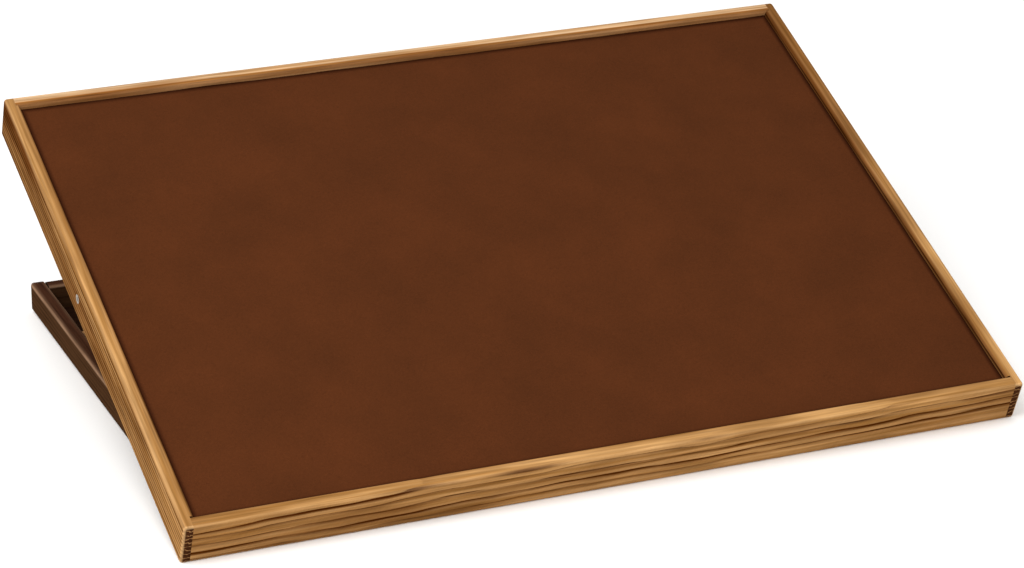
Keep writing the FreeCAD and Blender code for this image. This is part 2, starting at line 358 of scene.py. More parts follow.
# Size of the fibres along the log, across and up, and how far they stand out
FIBRE_MM = (75.0, 2.4, 2.4)
FIBRE_HEIGHT_MM = 0.12
# How far late wood is frayed along the fibres and torn on end grain, in ring widths
FRAYING = 0.25
TEARING = 1.3
# Wear and painted highlight on the corners round a stick's ends
CORNER_WEAR = 0.45
# Slant of the brush's strokes to the grain
BRUSH_DEG = 58.0
# Shares of a seed that shift the rings and the patches along each axis
RING_SEED = (3.7, 1.3, 2.1)
PATCH_SEED = (1.0, 1.7, 0.6)


class WoodSurface(Surface):
    """The material of one wooden piece, drawn in the solid from the growth rings of its log."""

    def __init__(self, wood: WoodFinish, stick: Stick, tilt_deg: float) -> None:
        """Find the piece's faces, its place in the log and the rings there.

        Args:
            wood: The finish.
            stick: The piece and how it was sawn.
            tilt_deg: Tilt of its body about the X axis at rest.
        """
        super().__init__(f"{wood.name}_{stick.node}")
        self.wood = wood
        self.sawing = stick.sawing
        self.flame = stick.flame
        axes = stick.axes(tilt_deg)
        low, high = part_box(stick.node)
        centre = (Vector(low) + Vector(high)) / 2
        pith = Vector((0, self.sawing.pith_across_mm, self.sawing.pith_up_mm))
        lean = Matrix.Rotation(math.radians(-self.sawing.rise_deg), 3, "Y")
        self.faces = self.face_nodes(axes)
        self.place = self.add_node(
            "Mapping",
            self.add_node("TexCoord").outputs["Object"],
            centre + axes @ pith * MM,
            (axes @ lean).to_euler(),
            (MM, MM, MM),
            vector_type="TEXTURE",
        )
        self.rings = self.ring_nodes()

    def build(self) -> bpy.types.Material:
        """Put colour, gloss and relief together, with the late wood proud of the early wood.

        Returns:
            The finished material.
        """
        add, wood = self.add_node, self.wood
        late = self.late_wood()
        body = self.body_colour(late)
        if self.flame:
            body = self.char_and_shade_colour(body, self.flame)
        body = self.worn_and_highlit_colour(body)
        fuzz = add("Math", self.rings["fibre"], FIBRE_HEIGHT_MM, operation="MULTIPLY")
        height = add("Math", late, wood.relief_mm, fuzz, operation="MULTIPLY_ADD")
        gloss = (wood.roughness_early, wood.roughness_late)
        return self.shade(
            {
                "Base Color": add("VectorMath", body, self.fine_shade(), operation="SCALE"),
                "Roughness": add("MapRange", late, 0.0, 1.0, *gloss),
                "Normal": add("Bump", Height=height, Distance=MM, Strength=0.8),
                # Waxed pores scatter the light, and a coat's reflection would grey the side faces
                "Specular IOR Level": 0.0,
            }
        )

    def stain(self, patches: Patches, place: Node | None = None) -> Node:
        """Make soft random patches.

        Args:
            patches: Their size and what sets them apart.
            place: Where they lie, or nothing to follow the log.

        Returns:
            A node whose value lies between 0 and 1.
        """
        size_mm, offset = patches.value
        scale = tuple(1 / size for size in size_mm)
        shift = tuple((self.sawing.seed + offset) * share for share in PATCH_SEED)
        spread = self.add_node(
            "VectorMath", place or self.place, scale, shift, operation="MULTIPLY_ADD"
        )
        return self.add_node("TexNoise", spread, Scale=1.0, Detail=2.0)

    def face_nodes(self, axes: Matrix) -> dict[str, Node]:
        """Tell end grain, sides, top and eased edges apart by the way they face.

        Args:
            axes: The stick's axes.

        Returns:
            Nodes for the signed facing along each axis, its size, end grain and eased edges.
        """
        add = self.add_node
        normal = add("TexCoord").outputs["Normal"]
        faces: dict[str, Node] = {}
        for key, axis in zip(("along", "across", "up"), axes.col):
            faces["signed_" + key] = add("VectorMath", normal, axis, operation="DOT_PRODUCT")
            faces[key] = add("Math", faces["signed_" + key], operation="ABSOLUTE")
        flattest = add("Math", faces["across"], faces["up"], operation="MAXIMUM")
        flattest = add("Math", faces["along"], flattest, operation="MAXIMUM")
        faces["eased"] = add("MapRange", flattest, *EASED_SPAN)
        faces["end"] = add("MapRange", faces["along"], *END_SPAN)
        return faces

    def ring_nodes(self) -> dict[str, Node]:
        """Build the growth rings of the log round its wandering pith.

        Returns:
            Nodes for the way out from the pith, the late wood, each year's strength and the fibres.
        """
        add, sawing = self.add_node, self.sawing
        seed = Vector([sawing.seed * share for share in RING_SEED])
        bent = self.place
        for reach, length, girth in (
            (sawing.wander_mm, sawing.wander_length_mm, sawing.wander_girth_mm),
            (sawing.ripple_mm, sawing.ripple_length_mm, sawing.ripple_girth_mm),
        ):
            scale = (1 / length, 1 / girth, 1 / girth)
            spread = add("VectorMath", self.place, scale, seed, operation="MULTIPLY_ADD")
            swirl = add("TexNoise", spread, Scale=1.0, Detail=1.0).outputs["Color"]
            # A noise swings by about a quarter round a half, so the throw is four times the reach
            throw = (0, reach * 4, reach * 4)
            start = add("VectorMath", bent, (0, reach * 2, reach * 2), operation="SUBTRACT")
            bent = add("VectorMath", swirl, throw, start, operation="MULTIPLY_ADD")
        radial = add("VectorMath", bent, (0, 1, 1), operation="MULTIPLY")
        radius = add("VectorMath", radial, operation="LENGTH")
        count = add("Math", radius, 1 / sawing.ring_mm, sawing.shift, operation="MULTIPLY_ADD")
        scale = tuple(1 / size for size in FIBRE_MM)
        fibre = add("VectorMath", self.place, scale, seed, operation="MULTIPLY_ADD")
        fibre = add("TexNoise", fibre, Scale=1.0, Detail=4.0, Roughness=0.6)
        torn = add("Math", self.stain(Patches.TORN_RINGS), 0.5, operation="SUBTRACT")
        torn = add("Math", torn, self.faces["end"], operation="MULTIPLY")
        count = add("Math", torn, TEARING, count, operation="MULTIPLY_ADD")
        count = add("Math", fibre, FRAYING, count, operation="MULTIPLY_ADD")
        year = add("Math", add("Math", count, operation="FLOOR"), sawing.seed)
        # A ring darkens slowly to its late wood and ends sharply
        late = add(
            "ValToRGB",
            add("Math", count, operation="FRACT"),
            stops=(
                (0.0, "#ffffff"),
                (0.07, "#303030"),
                (0.16, "#000000"),
                (1 - self.wood.late_share, "#1a1a1a"),
                (1 - self.wood.late_share * 0.45, "#cccccc"),
                (0.97, "#ffffff"),
            ),
        )
        return {
            "outward": add("VectorMath", radial, operation="NORMALIZE"),
            "late": late,
            "year": add("TexWhiteNoise", year, noise_dimensions="1D"),
            "fibre": fibre,
        }

    def late_wood(self) -> Node:
        """Darkness of the late wood: each year its own, and fainter where a face skims the rings.

        Returns:
            A node whose value lies between 0 and 1.
        """
        add, wood, rings = self.add_node, self.wood, self.rings
        years = (wood.late_strength * FAINT_YEAR, wood.late_strength)
        facing = add("CombineXYZ", 0.0, self.faces["signed_across"], self.faces["signed_up"])
        skim = add("VectorMath", facing, rings["outward"], operation="DOT_PRODUCT")
        skim = add("Math", skim, operation="ABSOLUTE")
        height = add("SeparateXYZ", self.place).outputs["Z"]
        pale = self.sawing.pale_under_mm - self.sawing.pith_up_mm
        late = rings["late"]
        for factor in (
            add("MapRange", rings["year"], 0.0, 1.0, *years),
            add("MapRange", skim, *SKIM_SPAN, 1.0, 1 - wood.brushed_off),
            add("MapRange", self.stain(Patches.FAINT_RINGS), *NOISE_SPAN, *PATCH_LATE),
            add("MapRange", rings["fibre"], *NOISE_SPAN, *FIBRE_LATE),
            add("MapRange", height, pale - PALE_FADE_MM, pale + PALE_FADE_MM, PALE_LATE),
        ):
            late = add("Math", late, factor, operation="MULTIPLY")
        return add("Math", late, 1.0, operation="MINIMUM")

    def body_colour(self, late: Node) -> Node:
        """Colour the early wood, the scorched places, the painted reflection on the sides, the late wood
        and the end grain.

        Args:
            late: Darkness of the late wood.

        Returns:
            A node with the colour.
        """
        add, wood = self.add_node, self.wood
        warmed = add("MapRange", self.stain(Patches.STREAKS), *WARM_SPAN)
        scorches = self.stain(Patches.SCORCHES)
        scorched = add("MapRange", scorches, *SCORCH_SPAN, 0.0, wood.scorch_amount)
        body = add("Mix", warmed, wood.early, wood.early_warm, data_type="RGBA")
        body = add("Mix", scorched, body, wood.scorch, data_type="RGBA")
        if wood.side_reflection_amount:
            # Painted reflection on the side faces
            side_reflection = add("MapRange", self.faces["up"], *SIDE_REFLECTION_SPAN, 0.0, wood.side_reflection_amount)
            body = add("Mix", side_reflection, body, wood.side, data_type="RGBA")
        body = add("Mix", late, body, wood.late, data_type="RGBA")

        # End grain drinks up heat and wax and goes dark; its dense late wood is brushed clean
        ridge = add("MapRange", self.rings["late"], *RIDGE_SPAN)
        end_body = add("Mix", ridge, wood.end_dark, wood.end_light, data_type="RGBA")
        return add("Mix", self.faces["end"], body, end_body, data_type="RGBA")

    def char_and_shade_colour(self, body: Node, flame: CharAndShade) -> Node:
        """Darken the rail with char and painted shade towards the tray, beside the felt and over the
        top's inner edge, and on its outer face.

        Args:
            body: The colour so far.
            flame: Where the torch stayed.

        Returns:
            A node with the colour.
        """
        add = self.add_node
        place = add("SeparateXYZ", self.place)
        middle = flame.inward * self.sawing.pith_across_mm
        depth = add("Math", place.outputs["Y"], flame.inward, middle, operation="MULTIPLY_ADD")
        facing = add("Math", self.faces["signed_across"], flame.inward, operation="MULTIPLY")
        # Char and painted shade over the top's inner edge and on the faces beside the felt
        top = add("MapRange", depth, flame.top_from_mm, flame.top_to_mm, 0.0, flame.char_and_shade_top)
        inner = add("Mix", add("MapRange", facing, *INNER_SPAN), top, flame.char_and_shade_in)
        licks = (flame.char_and_shade_out * FAINT_LICK, flame.char_and_shade_out)
        # Char and painted shade on the outer face, in patches
        licked = add("MapRange", self.stain(Patches.FLAME_LICKS), *LICK_SPAN, *licks)
        outer = add("Math", add("MapRange", facing, *OUTER_SPAN), licked, operation="MULTIPLY")
        along = add("MapRange", place.outputs["X"], *OUTER_CHAR_AND_SHADE_MM, flame.near_share)
        outer = add("Math", outer, along, operation="MULTIPLY")
        char = add("Math", inner, outer, operation="MAXIMUM")
        for way, strength in ((1, flame.char_far), (-1, flame.char_near)):
            if strength:
                fade = (way * flame.fade_from_mm, way * flame.fade_to_mm)
                lingering = add("MapRange", place.outputs["X"], *fade, 0.0, strength)
                kept = add("Math", 1.0, lingering, operation="SUBTRACT")
                bare = add("Math", 1.0, char, operation="SUBTRACT")
                bare = add("Math", bare, kept, operation="MULTIPLY")
                char = add("Math", 1.0, bare, operation="SUBTRACT")
        multiply_blend = {"data_type": "RGBA", "blend_type": "MULTIPLY"}
        darkened = add("Mix", 1.0, body, self.wood.char, **multiply_blend)
        return add("Mix", char, body, darkened, data_type="RGBA")

    def worn_and_highlit_colour(self, body: Node) -> Node:
        """Lighten the eased edges in places, most of all round the ends, with wear and painted
        highlight.

        Args:
            body: The colour so far.

        Returns:
            A node with the colour.
        """
        add, wood, faces = self.add_node, self.wood, self.faces
        patches = self.stain(Patches.WEAR)
        wears = (wood.arris_wear_and_highlight * FAINT_WEAR, wood.arris_wear_and_highlight)
        wear_and_highlight = add("MapRange", patches, *NOISE_SPAN, *wears)
        reach = add("MapRange", faces["up"], wood.arris_reach, wood.arris_reach - WEAR_FADE)
        wear_and_highlight = add("Math", wear_and_highlight, reach, operation="MULTIPLY")
        if self.flame:
            # A torched rail is worn and highlit on its outside only
            full = -WEAR_FADE * self.flame.inward
            outside = add("MapRange", faces["signed_across"], 0.0, full)
            wear_and_highlight = add("Math", wear_and_highlight, outside, operation="MULTIPLY")
        if wood.rubbed_and_highlit_top:
            across = add("SeparateXYZ", self.place).outputs["Y"]
            across = add("Math", across, self.sawing.pith_across_mm)
            across = add("Math", across, operation="ABSOLUTE")
            beside = add("MapRange", across, *RUBBED_AND_HIGHLIT_MM, 0.0, wood.rubbed_and_highlit_top)
            beside = add("Math", beside, faces["signed_up"], operation="MULTIPLY")
            rubbed_and_highlit = add("Math", beside, patches, operation="MULTIPLY")
            body = add("Mix", rubbed_and_highlit, body, wood.arris_worn_and_highlit, data_type="RGBA")
        corner = add("MapRange", faces["along"], *CORNER_SPAN, 0.0, CORNER_WEAR)
        wear_and_highlight = add("Math", wear_and_highlight, corner, operation="MAXIMUM")
        wear_and_highlight = add("Math", wear_and_highlight, faces["eased"], operation="MULTIPLY")
        return add("Mix", wear_and_highlight, body, wood.arris_worn_and_highlit, data_type="RGBA")

    def fine_shade(self) -> Node:
        """Break up every tone with fibres, a hardwood's rays and the marks of a rotary brush.

        Returns:
            A node with the factor for the colour.
        """
        add, wood = self.add_node, self.wood
        shade = add("MapRange", self.rings["fibre"], *NOISE_SPAN, *FIBRE_SHADE)
        marks: list[Node] = []
        if wood.fleck:
            rays = self.stain(Patches.RAYS)
            marks.append(add("MapRange", rays, *FLECK_SPAN, 1.0, 1 - wood.fleck))
        if wood.brush_marks:
            slant = (0, math.radians(BRUSH_DEG), 0)
            slanted = add("Mapping", self.place, Rotation=slant, vector_type="POINT")
            strokes = self.stain(Patches.BRUSH_STROKES, slanted)
            strokes = add("Math", strokes, self.faces["across"], operation="MULTIPLY")
            marks.append(add("MapRange", strokes, *STROKE_SPAN, 1.0, 1 - wood.brush_marks))
        for mark in marks:
            shade = add("Math", shade, mark, operation="MULTIPLY")
        return shade


# Pine, flame scorched, brushed and waxed: the flame browns the soft early wood and chars the hard
# late wood, which then stands proud as dark wavy lines; the eye sees warm tan between brown stripes.
TORCHED_PINE = WoodFinish(
    name="pine_flame_scorched_brushed",
    early="#be925e",
    early_warm="#9a6e3b",
    late="#502606",
    scorch="#7c542b",
    end_light="#9a7148",
    end_dark="#3a2010",
    arris_worn_and_highlit="#cda473",
    late_share=0.52,
    late_strength=1.4,
    scorch_amount=0.6,
    roughness_early=0.62,
    roughness_late=0.5,
    relief_mm=0.22,
    brushed_off=0.85,
    arris_wear_and_highlight=0.25,
    brush_marks=0.05,
)

# The same pine where the flame only licked it: paler wood, with outer edges lightened to light tan by
# wear and painted highlight.
PALE_TORCHED_PINE = replace(
    TORCHED_PINE,
    name="pine_flame_scorched_pale",
    early="#cead87",
    early_warm="#ad8459",
    scorch="#8a6038",
    arris_worn_and_highlit="#c9a884",
    char="#ad864e",
    arris_wear_and_highlight=0.6,
)

# Pine, stained walnut brown and waxed: the stain evens out the grain to purple brown; the sides carry an
# olive brown that is painted reflection, and the edges a grey tan line that is wear and painted
# highlight.
STAINED_PINE = WoodFinish(
    name="pine_stained_waxed",
    early="#43281b",
    early_warm="#3c2318",
    late="#26150d",
    scorch="#4a3020",
    end_light="#4a3a28",
    end_dark="#1d1610",
    arris_worn_and_highlit="#8e6f56",
    late_share=0.4,
    late_strength=1.0,
    scorch_amount=0.5,
    roughness_early=0.55,
    roughness_late=0.45,
    relief_mm=0.1,
    arris_wear_and_highlight=1.0,
    arris_reach=0.97,
    rubbed_and_highlit_top=0.8,
    side="#452f1c",
    side_reflection_amount=0.75,
)

# Plywood, stained walnut brown: a thin rotary cut face, made near black as painted shade for the hollow
# under the board, so that its broad figure barely shows.
PLYWOOD_STAINED_AND_SHADED = WoodFinish(
    name="plywood_stained_and_shaded",
    early="#2a1910",
    early_warm="#22140d",
    late="#170d08",
    scorch="#2e1c12",
    end_light="#3a281b",
    end_dark="#1c120c",
    arris_worn_and_highlit="#3a281b",
    late_share=0.4,
    late_strength=0.6,
    scorch_amount=0.4,
    roughness_early=0.7,
    roughness_late=0.6,
    relief_mm=0.04,
    brushed_off=0.0,
)

# Pine, planed and left bare: pale straw with soft orange lines and a dull surface.
PLANED_PINE = WoodFinish(
    name="pine_planed",
    early="#c9a26c",
    early_warm="#bf935c",
    late="#93642f",
    scorch="#b08550",
    end_light="#8a6237",
    end_dark="#b08a58",
    arris_worn_and_highlit="#d0ae7c",
    late_share=0.35,
    late_strength=0.75,
    scorch_amount=0.25,
    roughness_early=0.72,
    roughness_late=0.62,
    relief_mm=0.05,
    brushed_off=0.3,
)

# Beech, turned to round bar: pinkish tan with short dark ray flecks and hardly any ring lines.
TURNED_BEECH = WoodFinish(
    name="beech_turned",
    early="#b58a60",
    early_warm="#a97b52",
    late="#966a45",
    scorch="#a0744c",
    end_light="#7d5a3a",
    end_dark="#9c7550",
    arris_worn_and_highlit="#bd946b",
    late_share=0.3,
    late_strength=0.5,
    scorch_amount=0.2,
    roughness_early=0.58,
    roughness_late=0.52,
    relief_mm=0.02,
    brushed_off=0.3,
    fleck=0.34,
)


@dataclass(frozen=True)
class FeltFinish:
    """Wool felt, pressed: a matt, warm chocolate nap of short tangled fibres with faint clouds."""

    name: str = "wool_felt_pressed"
    base: str = "#482511"
    cloud_light: str = "#4c2712"
    cloud_dark: str = "#442310"
    # Colour of the painted shade along the rails
    rim: str = "#2c1206"
    sheen: str = "#a8764c"
    cloud_mm: float = 95.0
    # The fibres are 0.03 mm thick; they are drawn as tufts of 1.6 mm so that the nap shows
    tuft_mm: float = 1.6
    tuft_shade: tuple[float, float] = (0.8, 1.2)
    nap_mm: float = 0.25
    # Painted shade: the felt darkens along the rails, standing in for the shade they cast on it
    shade_rim_mm: float = 7.0
    shade_rim_full_mm: float = 0.5

    def build(
        self, centre: Vector, tilt_deg: float, half_mm: tuple[float, float]
    ) -> bpy.types.Material:
        """Make the material.

        Args:
            centre: The sheet's middle.
            tilt_deg: Tilt of the board about the X axis at rest.
            half_mm: Half the sheet's width and length.

        Returns:
            The felt material.
        """
        surface = Surface(self.name)
        add = surface.add_node
        place = add(
            "Mapping",
            add("TexCoord").outputs["Object"],
            centre,
            (math.radians(tilt_deg), 0, 0),
            (MM, MM, MM),
            vector_type="TEXTURE",
        )
        clouds = add("TexNoise", place, Scale=1 / self.cloud_mm, Detail=3.0, Roughness=0.6)
        low, high = NOISE_SPAN
        stops = ((low, self.cloud_dark), (0.5, self.base), (high, self.cloud_light))
        tone = add("ValToRGB", clouds, stops=stops)
        folded = add("VectorMath", place, operation="ABSOLUTE")
        inside = add("VectorMath", (*half_mm, 0.0), folded, operation="SUBTRACT")
        sides = add("SeparateXYZ", inside)
        nearest = add("Math", sides.outputs["X"], sides.outputs["Y"], operation="MINIMUM")
        # Painted shade along the rails, darkest at the felt's cut edges
        reach = (self.shade_rim_mm, self.shade_rim_full_mm)
        pressed = add("MapRange", nearest, *reach, interpolation_type="SMOOTHSTEP")
        tone = add("Mix", pressed, tone, self.rim, data_type="RGBA")
        tufts = add(
            "TexNoise", place, Scale=1 / self.tuft_mm, Detail=5.0, Roughness=0.65, Distortion=1.4
        )
        shade = add("MapRange", tufts, *NOISE_SPAN, *self.tuft_shade)
        return surface.shade(
            {
                "Base Color": add("VectorMath", tone, shade, operation="SCALE"),
                "Normal": add("Bump", Height=tufts, Distance=self.nap_mm * MM, Strength=0.7),
                "Roughness": 0.95,
                "Specular IOR Level": 0.02,
                "Sheen Weight": 0.01,
                "Sheen Roughness": 0.5,
                "Sheen Tint": self.sheen,
            }
        )


@dataclass(frozen=True)
class MetalFinish:
    """A metal with fine brushing marks and slight dulling."""

    name: str
    bright: str
    dull: str
    roughness: float
    brush_mm: float = 0.35
    stroke_mm: float = 30.0
    dull_mm: float = 14.0
    # Where the haze sets in and where it is full, as values of its noise
    haze: tuple[float, float] = (0.38, 0.7)
    # Least and most roughness, as shares of the metal's own
    uneven: tuple[float, float] = (0.8, 1.3)
    relief_mm: float = 0.02

    def build(self) -> bpy.types.Material:
        """Make the material.

        Returns:
            The metal material.
        """
        surface = Surface(self.name)
        add = surface.add_node
        place = add("TexCoord").outputs["Object"]
        fine = 1 / (self.brush_mm * MM)
        scale = (1 / (self.stroke_mm * MM), fine, fine)
        brushed = add("VectorMath", place, scale, operation="MULTIPLY")
        marks = add("TexNoise", brushed, Scale=1.0, Detail=2.0)
        haze = add("TexNoise", place, Scale=1 / (self.dull_mm * MM), Detail=3.0)
        rough = [self.roughness * share for share in self.uneven]
        stops = tuple(zip(self.haze, (self.bright, self.dull)))
        return surface.shade(
            {
                "Base Color": add("ValToRGB", haze, stops=stops),
                "Roughness": add("MapRange", marks, *NOISE_SPAN, *rough),
                "Normal": add("Bump", Height=marks, Distance=self.relief_mm * MM, Strength=0.6),
                "Metallic": 1.0,
            }
        )


# Steel, zinc plated: a warm pale grey with soft reflections.
ZINC_STEEL = MetalFinish("steel_zinc_plated", "#aea599", "#857c71", 0.36)
# Brass, rolled and brushed: a warm yellow with fine marks along the leaf and brown haze.
BRUSHED_BRASS = MetalFinish("brass_rolled_brushed", "#d3ab5c", "#a07c3c", 0.32)


@dataclass(frozen=True)
class RubberFinish:
    """Rubber, moulded: a dull near-black with a fine pebbled grip and a little dust."""

    name: str = "rubber_moulded"
    base: str = "#1c1b1a"
    dust: str = "#3a3733"
    pebble_mm: float = 0.9
    pebble_height_mm: float = 0.08
    dust_mm: float = 7.0
    roughness: tuple[float, float] = (0.6, 0.95)

    def build(self) -> bpy.types.Material:
        """Make the material.

        Returns:
            The rubber material.
        """
        surface = Surface(self.name)
        add = surface.add_node
        place = add("TexCoord").outputs["Object"]
        pebbles = add("TexVoronoi", place, Scale=1 / (self.pebble_mm * MM))
        dusty = add("TexNoise", place, Scale=1 / (self.dust_mm * MM), Detail=4.0)
        height = self.pebble_height_mm * MM
        return surface.shade(
            {
                "Base Color": add("ValToRGB", dusty, stops=((0.45, self.base), (0.8, self.dust))),
                "Roughness": add("MapRange", dusty, 0.0, 1.0, *self.roughness),
                "Normal": add("Bump", Height=pebbles, Distance=height, Strength=0.6),
                "Specular IOR Level": 0.2,
            }
        )


@dataclass(frozen=True)
class HardboardFinish:
    """Hardboard, wet pressed: brown wood pulp with loose fibres, and a screen's mesh on its back."""

    name: str = "hardboard_pressed"
    base: str = "#6d4a2e"
    fibre_light: str = "#8a6544"
    fibre_dark: str = "#4a3020"
    fibre_mm: float = 2.2
    # The screen's wires are 1 mm apart; they are drawn 2 mm apart so that the mesh shows
    screen_mm: float = 2.0
    relief_mm: float = 0.2

    def build(self, tilt_deg: float) -> bpy.types.Material:
        """Make the material.

        Args:
            tilt_deg: Tilt of the board about the X axis at rest.

        Returns:
            The hardboard material.
        """
        surface = Surface(self.name)
        add = surface.add_node
        flat = add(
            "Mapping",
            add("TexCoord").outputs["Object"],
            Rotation=(math.radians(tilt_deg), 0, 0),
            Scale=(MM, MM, MM),
            vector_type="TEXTURE",
        )
        pulp = add("TexNoise", flat, Scale=1 / self.fibre_mm, Detail=5.0, Distortion=2.0)
        stops = ((0.32, self.fibre_dark), (0.5, self.base), (0.72, self.fibre_light))
        # A wave texture has a length of 2 pi / 20 at a scale of 1
        pitch = 2 * math.pi / 20 / self.screen_mm
        waves = [add("TexWave", flat, Scale=pitch, bands_direction=way) for way in ("X", "Y")]
        mesh = add("Math", *waves, operation="MULTIPLY")
        height = add("Math", mesh, 0.7, pulp, operation="MULTIPLY_ADD")
        return surface.shade(
            {
                "Base Color": add("ValToRGB", pulp, stops=stops),
                "Normal": add("Bump", Height=height, Distance=self.relief_mm * MM, Strength=0.8),
                "Roughness": 0.7,
            }
        )


@dataclass(frozen=True)
class CrossScrew:
    """A countersunk screw whose cross recess is pressed into the head."""

    head_radius: float
    head_height: float
    shank_radius: float
    length: float
    recess_reach: float
    recess_width: float
    recess_depth: float
    spokes: int = 72
    hoops: int = 22
    # Shares of the recess's width and reach over which its walls and its floor slope
    wall_share: float = 0.3
    floor_share: float = 0.7
    floor_slope: float = 1.4
    # Shares of the head's radius that is flat and of its height that is rim
    face_share: float = 0.985
    rim_share: float = 0.05
    # Shares of the length up to which the shank is straight, and of its radius left at the tip
    straight_share: float = 0.94
    tip_share: float = 0.5

    def recess(self, x: float, y: float) -> float:
        """Depth of the cross recess at one place on the head.

        Args:
            x: Distance from the middle along one arm.
            y: Distance from the middle along the other arm.

        Returns:
            The depth, with sloping walls and a floor that falls towards the middle.
        """
        wall = self.recess_width * self.wall_share
        slope = self.recess_reach * self.floor_share
        deepest = 0.0
        for along, beside in ((abs(x), abs(y)), (abs(y), abs(x))):
            side = min(1.0, max(0.0, (self.recess_width / 2 - beside) / wall))
            reach = min(1.0, max(0.0, (self.recess_reach - along) / slope))
            deepest = max(deepest, min(side, reach * self.floor_slope))
        return self.recess_depth * min(1.0, deepest)

    def add_to(self, mesh: bmesh.types.BMesh, place: Matrix) -> None:
        """Add one screw to a mesh.

        Args:
            mesh: The mesh to add to.
            place: Puts the head's middle at the origin, with the shank along +Z.
        """
        flat = self.head_radius * self.face_share
        profile: list[tuple[float, float]] = [
            (flat * i / self.hoops, 0.0) for i in range(1, self.hoops + 1)
        ]
        profile += [
            (self.head_radius, self.head_height * self.rim_share),
            (self.shank_radius, self.head_height),
            (self.shank_radius, self.length * self.straight_share),
            (self.shank_radius * self.tip_share, self.length),
        ]
        middle = mesh.verts.new(place @ Vector((0, 0, self.recess(0, 0))))
        hoops = []
        for radius, depth in profile:
            hoop = []
            for k in range(self.spokes):
                angle = 2 * math.pi * k / self.spokes
                x, y = radius * math.cos(angle), radius * math.sin(angle)
                sunk = self.recess(x, y) if depth == 0.0 else 0.0
                hoop.append(mesh.verts.new(place @ Vector((x, y, depth + sunk))))
            hoops.append(hoop)
        tip = mesh.verts.new(place @ Vector((0, 0, self.length)))
        for k in range(self.spokes):
            after = (k + 1) % self.spokes
            mesh.faces.new((middle, hoops[0][after], hoops[0][k]))
            for inner, outer in zip(hoops, hoops[1:]):
                mesh.faces.new((inner[k], inner[after], outer[after], outer[k]))
            mesh.faces.new((hoops[-1][k], hoops[-1][after], tip))


def finish_mesh(name: str, mesh: bmesh.types.BMesh, smooth_deg: float = SMOOTH_DEG) -> Piece:
    """Turn a mesh under construction into an object in the scene.

    Args:
        name: The object's name.
        mesh: The mesh, which is freed.
        smooth_deg: Faces that meet under this angle are shaded smooth.

    Returns:
        The new object.
    """
    bmesh.ops.recalc_face_normals(mesh, faces=mesh.faces)
    for edge in mesh.edges:
        edge.smooth = edge.is_manifold and edge.calc_face_angle(0.0) < math.radians(smooth_deg)
    for face in mesh.faces:
        face.smooth = True
    data = bpy.data.meshes.new(name)
    mesh.to_mesh(data)
    mesh.free()
    piece = bpy.data.objects.new(name, data)
    bpy.context.scene.collection.objects.link(piece)
    return piece


def dress_sticks(
    nodes: Nodes, tilt_deg: float, sticks: Mapping[WoodFinish, Sequence[Stick]]
) -> list[Piece]:
    """Dress the wooden pieces of one body.

    Args:
        nodes: The CAD pieces by name.
        tilt_deg: Tilt of the body about the X axis at rest.
        sticks: The pieces of each finish.

    Returns:
        The dressed pieces.
    """
    return [
        finish.dress(nodes[stick.node], stick, tilt_deg)
        for finish, group in sticks.items()
        for stick in group
    ]


